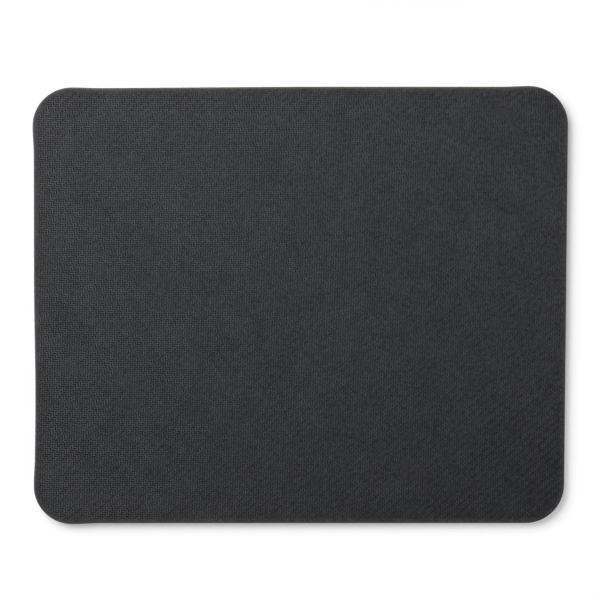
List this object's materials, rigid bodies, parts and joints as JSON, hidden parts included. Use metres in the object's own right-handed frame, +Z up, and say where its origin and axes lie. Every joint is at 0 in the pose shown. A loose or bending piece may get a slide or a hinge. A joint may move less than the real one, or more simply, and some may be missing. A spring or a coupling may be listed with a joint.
{
  "type": "mouse pad",
  "caption": "Thin flat rectangular desk pad with rounded corners, charcoal sponge rubber with a fine woven emboss bonded to a smooth cloth face, gives a mouse a surface to run on.",
  "frame": {"origin": "middle of the cloth face, which rests on the table in the pictured pose", "axes": "+X to the right along the 220 mm width as pictured, +Y towards the far long edge, +Z up out of the embossed rubber. Turned half a turn about X it lies cloth up, as it is used"},
  "size_m": [0.22, 0.18, 0.003],
  "materials": {
    "sponge_rubber": "matt, fine twill emboss",
    "adhesive": "waxy film",
    "polyester_cloth": "fine smooth knit"
  },
  "bodies": {
    "root": {"rubber_base": "sponge_rubber", "bond_film": "adhesive", "face_cloth": "polyester_cloth"}
  },
  "joints": []
}
